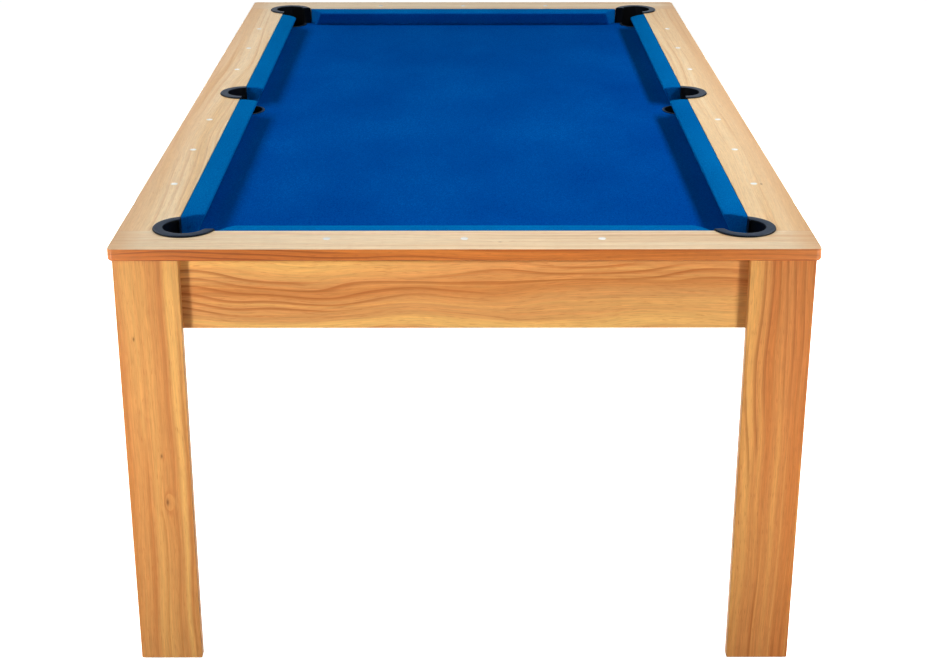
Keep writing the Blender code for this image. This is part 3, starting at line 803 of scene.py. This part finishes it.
def pocket_centers():
    """Plan places of the pockets, worked out from the outer sides of the liners' collars."""
    radius = collar_radius()
    centers = {}
    for corner, (side_x, side_y) in CORNERS.items():
        low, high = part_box(f"pocket_liner_{corner}")
        x = low.x + radius if side_x < 0 else high.x - radius
        y = low.y + radius if side_y < 0 else high.y - radius
        centers[corner] = (x, y)
    for name, side_x in (("middle_left", -1), ("middle_right", 1)):
        low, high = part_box(f"pocket_liner_{name}")
        x = low.x + radius if side_x < 0 else high.x - radius
        centers[name] = (x, 0.0)
    return centers


def liner_section(collar, floor, top):
    """Half section of a whole liner, from the middle of its floor round to its underside."""
    outer = POCKET_RADIUS + LINER_THICK
    rise = top - RAIL_TOP
    lip_top = BED_TOP + GAP + LIP_RISE
    points = [(0, floor + LINER_THICK)]
    points += arc((POCKET_RADIUS - CUP_FILLET, floor + LINER_THICK + CUP_FILLET), CUP_FILLET,
                  -90, 0, 10)
    points += arc((POCKET_RADIUS + MOUTH_RADIUS, top - MOUTH_RADIUS), MOUTH_RADIUS, 180, 90, 6)
    points += arc((collar - rise + GAP, top - rise + GAP), rise - GAP, 90, 0, 8)
    points += [(collar, RAIL_TOP + GAP), (outer, RAIL_TOP + GAP)]
    points += [(outer, lip_top)]
    points += arc((LIP_RADIUS - LIP_EDGE_RADIUS, lip_top - LIP_EDGE_RADIUS), LIP_EDGE_RADIUS,
                  90, 0, 3)
    points += [(LIP_RADIUS, BED_TOP + GAP), (outer, BED_TOP + GAP)]
    points += arc((POCKET_RADIUS - CUP_FILLET, floor + LINER_THICK + CUP_FILLET),
                  CUP_FILLET + LINER_THICK, 0, -90, 10)
    points += [(0, floor)]
    return points


def box_cutter(name, low, high):
    """A box between two corners, as an object for a Boolean."""
    low, high = Vector(low), Vector(high)
    bm = bmesh.new()
    stretch = Matrix.Translation((low + high) / 2) @ Matrix.Diagonal((*(high - low), 1))
    bmesh.ops.create_cube(bm, size=1, matrix=stretch)
    return link(name, mesh_from(bm, name))


def liner_mesh(name, center, inward, tips):
    """A turned cup opened towards the bed, with wings along the wood to the cushion ends.

    inward is the pair of directions from the pocket to the bed, 0 for none. Each of the tips is
    (axis of the wing, its direction, its root, its tip), the last two from the pocket's centre.
    """
    low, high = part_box(f"pocket_liner_{name}")
    bm = turned("cup", liner_section(collar_radius(), low.z, high.z), LINER_STEPS)
    cup = link("cup", mesh_from(bm, "cup"))

    front = [half - RAIL_WIDTH - GAP - LINER_THICK - abs(place)
             for half, place in zip((HALF_WIDTH, HALF_LENGTH), center)]
    throat_low = [0.0, 0.0, BED_TOP + LIP_RISE]
    throat_high = [0.0, 0.0, RAIL_TOP + 0.02]
    for axis in (0, 1):
        if inward[axis]:
            sides = sorted((-front[axis] * inward[axis], THROAT_REACH * inward[axis]))
        else:
            sides = (-THROAT_REACH, THROAT_REACH)
        throat_low[axis], throat_high[axis] = sides
    tools = [(box_cutter("throat", throat_low, throat_high), "DIFFERENCE")]

    wing_bottom = BED_TOP + GAP + LIP_RISE / 2
    wing_top = (RAIL_TOP + high.z) / 2
    for wing_axis, way, root, tip in tips:
        across = 1 - wing_axis
        edges = [0.0, 0.0]
        depths = sorted(-(front[across] + part) * inward[across] for part in (GAP, LINER_THICK))
        edges[across] = depths
        edges[wing_axis] = sorted((way * root, way * tip))
        low_corner = (edges[0][0], edges[1][0], wing_bottom)
        high_corner = (edges[0][1], edges[1][1], wing_top)
        tools.append((box_cutter("wing", low_corner, high_corner), "UNION"))

    for tool, operation in tools:
        cut = cup.modifiers.new(operation, "BOOLEAN")
        cut.object = tool
        cut.operation = operation
        cut.solver = "EXACT"
    ease = cup.modifiers.new("ease", "BEVEL")
    ease.width = LINER_EDGE_RADIUS
    ease.segments = 3
    ease.limit_method = "ANGLE"
    ease.angle_limit = math.radians(50)
    mesh = baked(cup, f"pocket_liner_{name}_moulded")
    for tool, _ in tools:
        bpy.data.objects.remove(tool)
    mesh.transform(Matrix.Translation((*center, 0)))
    mesh.shade_smooth()
    mesh.set_sharp_from_angle(angle=math.radians(42))
    return mesh


def make_liners():
    """The six liners, each made finer over its CAD node."""
    material = pocket_plastic("pocket_plastic")
    corner_tip = HALF_LENGTH - abs(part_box("cushion_left_near")[0].y) - WING_PLAY
    middle_tip = abs(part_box("cushion_left_near")[1].y) - WING_PLAY
    for name, center in pocket_centers().items():
        if name.startswith("middle"):
            inward = (-math.copysign(1, center[0]), 0)
            tips = [(1, way, MIDDLE_WING_ROOT, middle_tip) for way in (-1, 1)]
        else:
            inward = (-math.copysign(1, center[0]), -math.copysign(1, center[1]))
            tip = corner_tip - (HALF_LENGTH - abs(center[1]))
            tips = [(axis, inward[axis], CORNER_WING_ROOT, tip) for axis in (0, 1)]
        mesh = liner_mesh(name, center, inward, tips)
        made = new_piece(mesh.name, mesh, material)
        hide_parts(f"pocket_liner_{name}")


# ---- Sights ----------------------------------------------------
def make_sights():
    """Round sights let into the rails, at equal steps of an eighth of the playing length."""
    nose = {axis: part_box(node)[1][axis] for axis, node in ((0, "cushion_left_near"),
                                                           (1, "cushion_end_near"))}
    step = -nose[1] * 2 / 8
    profile = [(0, -SIGHT_DEPTH), (SIGHT_RADIUS, -SIGHT_DEPTH), (SIGHT_RADIUS, SIGHT_HEIGHT * 0.4)]
    profile += [(SIGHT_RADIUS * math.cos(math.radians(angle)),
                 SIGHT_HEIGHT * (0.4 + 0.6 * math.sin(math.radians(angle))))
                for angle in (15, 30, 45, 60, 75)]
    profile += [(0, SIGHT_HEIGHT)]
    shape = mesh_from(turned("sight", profile, SIGHT_STEPS), "sight", 50)
    material = sight_plastic("sight_plastic")
    x_line, y_line = HALF_WIDTH - SIGHT_INSET, HALF_LENGTH - SIGHT_INSET
    places = {}
    for number in (-1, 0, 1):
        places[f"near_{number + 2}"] = (number * step, -y_line)
        places[f"far_{number + 2}"] = (number * step, y_line)
    for number, steps_along in enumerate((-3, -2, -1, 1, 2, 3), start=1):
        places[f"left_{number}"] = (-x_line, steps_along * step)
        places[f"right_{number}"] = (x_line, steps_along * step)
    for name, (x, y) in places.items():
        mesh = shape.copy()
        mesh.transform(Matrix.Translation((x, y, RAIL_TOP)))
        new_piece(f"sight_{name}", mesh, material)


# ---- Levellers -------------------------------------------------
def thread_radius(height, angle):
    """Radius of a 60 degree thread with flattened crests at a height and an angle."""
    phase = (height / THREAD_PITCH - angle / (2 * math.pi)) % 1.0
    ridge = 1 - abs(2 * phase - 1)
    return STEM_RADIUS - THREAD_DEPTH * (1 - min(1.0, max(0.0, ridge * 1.25 - 0.1)))


def stem_mesh(name, bottom, top):
    """Hexagon under a threaded rod whose top is chamfered."""
    bm = bmesh.new()
    shank_bottom = bottom + HEX_HEIGHT
    rows = round((top - shank_bottom) / (THREAD_PITCH / 8))
    rings = [[bm.verts.new((0, 0, shank_bottom))]]
    for row in range(rows + 1):
        height = shank_bottom + (top - shank_bottom) * row / rows
        limit = STEM_RADIUS - max(0.0, height - (top - STEM_CHAMFER)) * 0.9
        ring = []
        for step in range(THREAD_STEPS):
            angle = 2 * math.pi * step / THREAD_STEPS
            radius = min(limit, thread_radius(height, angle))
            ring.append(bm.verts.new((radius * math.cos(angle), radius * math.sin(angle), height)))
        rings.append(ring)
    rings.append([bm.verts.new((0, 0, top))])
    join_rings(bm, rings)
    hexagon = bmesh.ops.create_cone(bm, cap_ends=True, segments=6, radius1=HEX_RADIUS,
                                    radius2=HEX_RADIUS, depth=HEX_HEIGHT - 0.0002,
                                    matrix=Matrix.Translation((0, 0, bottom + HEX_HEIGHT / 2)))
    edges = {edge for vertex in hexagon["verts"] for edge in vertex.link_edges}
    bmesh.ops.bevel(bm, geom=list(edges), offset=HEX_CHAMFER, segments=2, profile=0.5,
                    affect="EDGES")
    return mesh_from(bm, name, 40)


def pad_mesh(name, radius, top):
    """Round foot pad with a boss under the stem and a shallow rim."""
    profile = [(0, top), (PAD_BOSS_RADIUS - PAD_BOSS_CHAMFER, top),
               (PAD_BOSS_RADIUS, top - PAD_BOSS_CHAMFER),
               (PAD_BOSS_RADIUS, PAD_BASE_HEIGHT + PAD_BOSS_FOOT),
               (PAD_BOSS_RADIUS + PAD_BOSS_FOOT, PAD_BASE_HEIGHT),
               (radius - PAD_RIM, PAD_BASE_HEIGHT)]
    profile += arc((radius - PAD_RIM_RADIUS, PAD_BASE_HEIGHT - PAD_RIM_RADIUS), PAD_RIM_RADIUS,
                   90, 0, 6)
    profile += arc((radius - PAD_FOOT_RADIUS, PAD_FOOT_RADIUS), PAD_FOOT_RADIUS, 0, -90, 3)
    profile += [(0, 0)]
    return mesh_from(turned(name, profile, TURNED_STEPS), name, 35)


def make_levellers():
    """The four stems and pads. Each rides on its own body."""
    steel = zinc_steel("thread_steel")
    plastic = moulded_plastic("foot_plastic", (24, 24, 26), (44, 44, 46), 0.5)
    for corner in CORNERS:
        stem_low, stem_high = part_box(f"leveller_stem_{corner}")
        pad_low, pad_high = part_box(f"leveller_pad_{corner}")
        axis = (pad_low + pad_high) / 2
        spot = Matrix.Translation((axis.x, axis.y, 0))
        stem = stem_mesh(f"leveller_stem_{corner}_thread", stem_low.z, stem_high.z)
        pad = pad_mesh(f"leveller_pad_{corner}_moulded", (pad_high.x - pad_low.x) / 2, pad_high.z)
        for mesh, kind, material, slot in ((stem, "stem", steel, "steel"),
                                           (pad, "pad", plastic, "foot_plastic")):
            mesh.transform(spot)
            node = f"leveller_{kind}_{corner}"
            made = new_piece(mesh.name, mesh, material, body=node)
            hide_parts(node)


# ---- Camera, light and stage -----------------------------------
CAMERA_PLACE = (-0.0044, -3.6833, 1.7150)
CAMERA_PITCH = 20.198        # degrees below the horizon
CAMERA_YAW = 0.099           # degrees towards +X
CAMERA_LENS = 64.78          # millimetres, on a 36 mm sensor
CAMERA_SHIFT = -0.0592
VIEW_GAMMA = 0.8             # gives the deeper shadows of a studio photograph

LOW_HEIGHT = 0.46            # of the tall boxes in front and behind
LOW_WATTS = {"left": 9.4, "right": 8.4}
SIDE_WATTS = 19
OVER_SPANS = ((-1.1, 0.8), (-0.1, 2.2), (0.95, 0.8))     # (place along the table, length)
OVER_ROWS = {                # height, depth of the boxes, watts of each
    "left": (2.02, 0.62, (10.3, 15.8, 10.5)),
    "right": (2.20, 0.45, (7.0, 33.5, 5.0)),
}
WORLD_STRENGTH = 0.07

FLOOR_RADIUS = 60
WALL_RADIUS = 59
WALL_HEIGHT = 60             # its lower half is under the floor
STAGE_STEPS = 96
STAGE_GLOW = 0.95


def make_camera():
    """The camera fitted to the photograph."""
    data = bpy.data.cameras.new("camera")
    data.sensor_width = 36
    data.lens = CAMERA_LENS
    data.shift_y = CAMERA_SHIFT
    camera = link("camera", data)
    camera.location = CAMERA_PLACE
    camera.rotation_euler = (math.radians(90 - CAMERA_PITCH), 0, math.radians(-CAMERA_YAW))
    bpy.context.scene.camera = camera


def softbox(name, place, target, width, height, watts, spread=180):
    """A rectangular light that faces a target. Its width lies level."""
    data = bpy.data.lights.new(name, "AREA")
    data.shape = "RECTANGLE"
    data.size = width
    data.size_y = height
    data.energy = watts
    data.spread = math.radians(spread)
    box = link(name, data)
    box.location = place
    aim = Vector(target) - Vector(place)
    box.rotation_euler = aim.to_track_quat("-Z", "Y").to_euler()
    box.visible_camera = False


def make_lights():
    """Tall boxes near the legs, a low one at each side, rows above both sides, and three more."""
    sides = ((-1, "left"), (1, "right"))
    for side, name in sides:
        for way, end in ((-1, "front"), (1, "back")):
            softbox(f"{end}_{name}", (side * 1.08, way * 1.74, LOW_HEIGHT),
                    (side * 0.5, way * 1.06, LOW_HEIGHT), 0.22, 0.9, LOW_WATTS[name])
        softbox(f"side_{name}", (side * 2.2, 0, 0.45), (side * 0.6, 0, 0.5), 1.8, 0.5, SIDE_WATTS)
    for side, name in sides:
        height, depth, powers = OVER_ROWS[name]
        for watts, (place, length) in zip(powers, OVER_SPANS):
            softbox(f"over_{name}_{place}", (side * 1.75, place, height),
                    (side * 0.35, place, BED_TOP), length, depth, watts)
    softbox("centre_front", (0, -2.75, 1.60), (0, -1.0, 0.78), 0.4, 0.2, 0.9, spread=40)
    softbox("near_rail", (0, -0.6, 1.9), (0, -1.02, 0.8), 1.1, 0.06, 0.1, spread=30)
    softbox("sky", (0, 3.6, 1.85), (0, 0, 0.8), 3.4, 1.3, 12)


def make_world():
    """A weak white surround that lightens the shadows."""
    world = bpy.data.worlds.new("world")
    bpy.context.scene.world = world
    world.use_nodes = True
    background = world.node_tree.nodes["Background"]
    background.inputs["Color"].default_value = (1, 1, 1, 1)
    background.inputs["Strength"].default_value = WORLD_STRENGTH


def make_stage():
    """A pale floor that glows, so that it stays white as far as the camera sees.

    A wall of the same material stands round it, for views from low down. Neither of them lights
    the table, but polished parts show the floor.
    """
    graph = Graph("studio_floor", Specular_IOR_Level=0.0)
    cloud = graph.noise(graph.place, scale=0.7, detail=1.0)
    graph.finish(graph.mix(cloud, tone(226, 226, 226), tone(230, 230, 230)), 0.9)
    graph.surface.inputs["Emission Color"].default_value = (1, 1, 1, 1)
    graph.surface.inputs["Emission Strength"].default_value = STAGE_GLOW

    bm = bmesh.new()
    bmesh.ops.create_circle(bm, cap_ends=True, segments=STAGE_STEPS, radius=FLOOR_RADIUS)
    floor = link("studio_floor", mesh_from(bm, "studio_floor"))
    floor.data.materials.append(graph.material)
    floor.visible_diffuse = False

    bm = bmesh.new()
    bmesh.ops.create_cone(bm, segments=STAGE_STEPS, radius1=WALL_RADIUS, radius2=WALL_RADIUS,
                          depth=WALL_HEIGHT)
    wall = link("studio_wall", mesh_from(bm, "studio_wall"))
    wall.data.materials.append(graph.material)
    wall.visible_diffuse = False
    wall.visible_glossy = False
    wall.visible_shadow = False


# ---- Assembly --------------------------------------------------
make_camera()
node_shading = shading_tree("node_shading", SHARP_ANGLE)
dress_boards(node_shading)
dress_inner_parts(node_shading)
make_bed_cloth()
make_cushions()
make_liners()
make_sights()
make_levellers()
make_lights()
make_world()
make_stage()
bpy.context.scene.view_settings.view_transform = "Standard"
bpy.context.scene.view_settings.gamma = VIEW_GAMMA
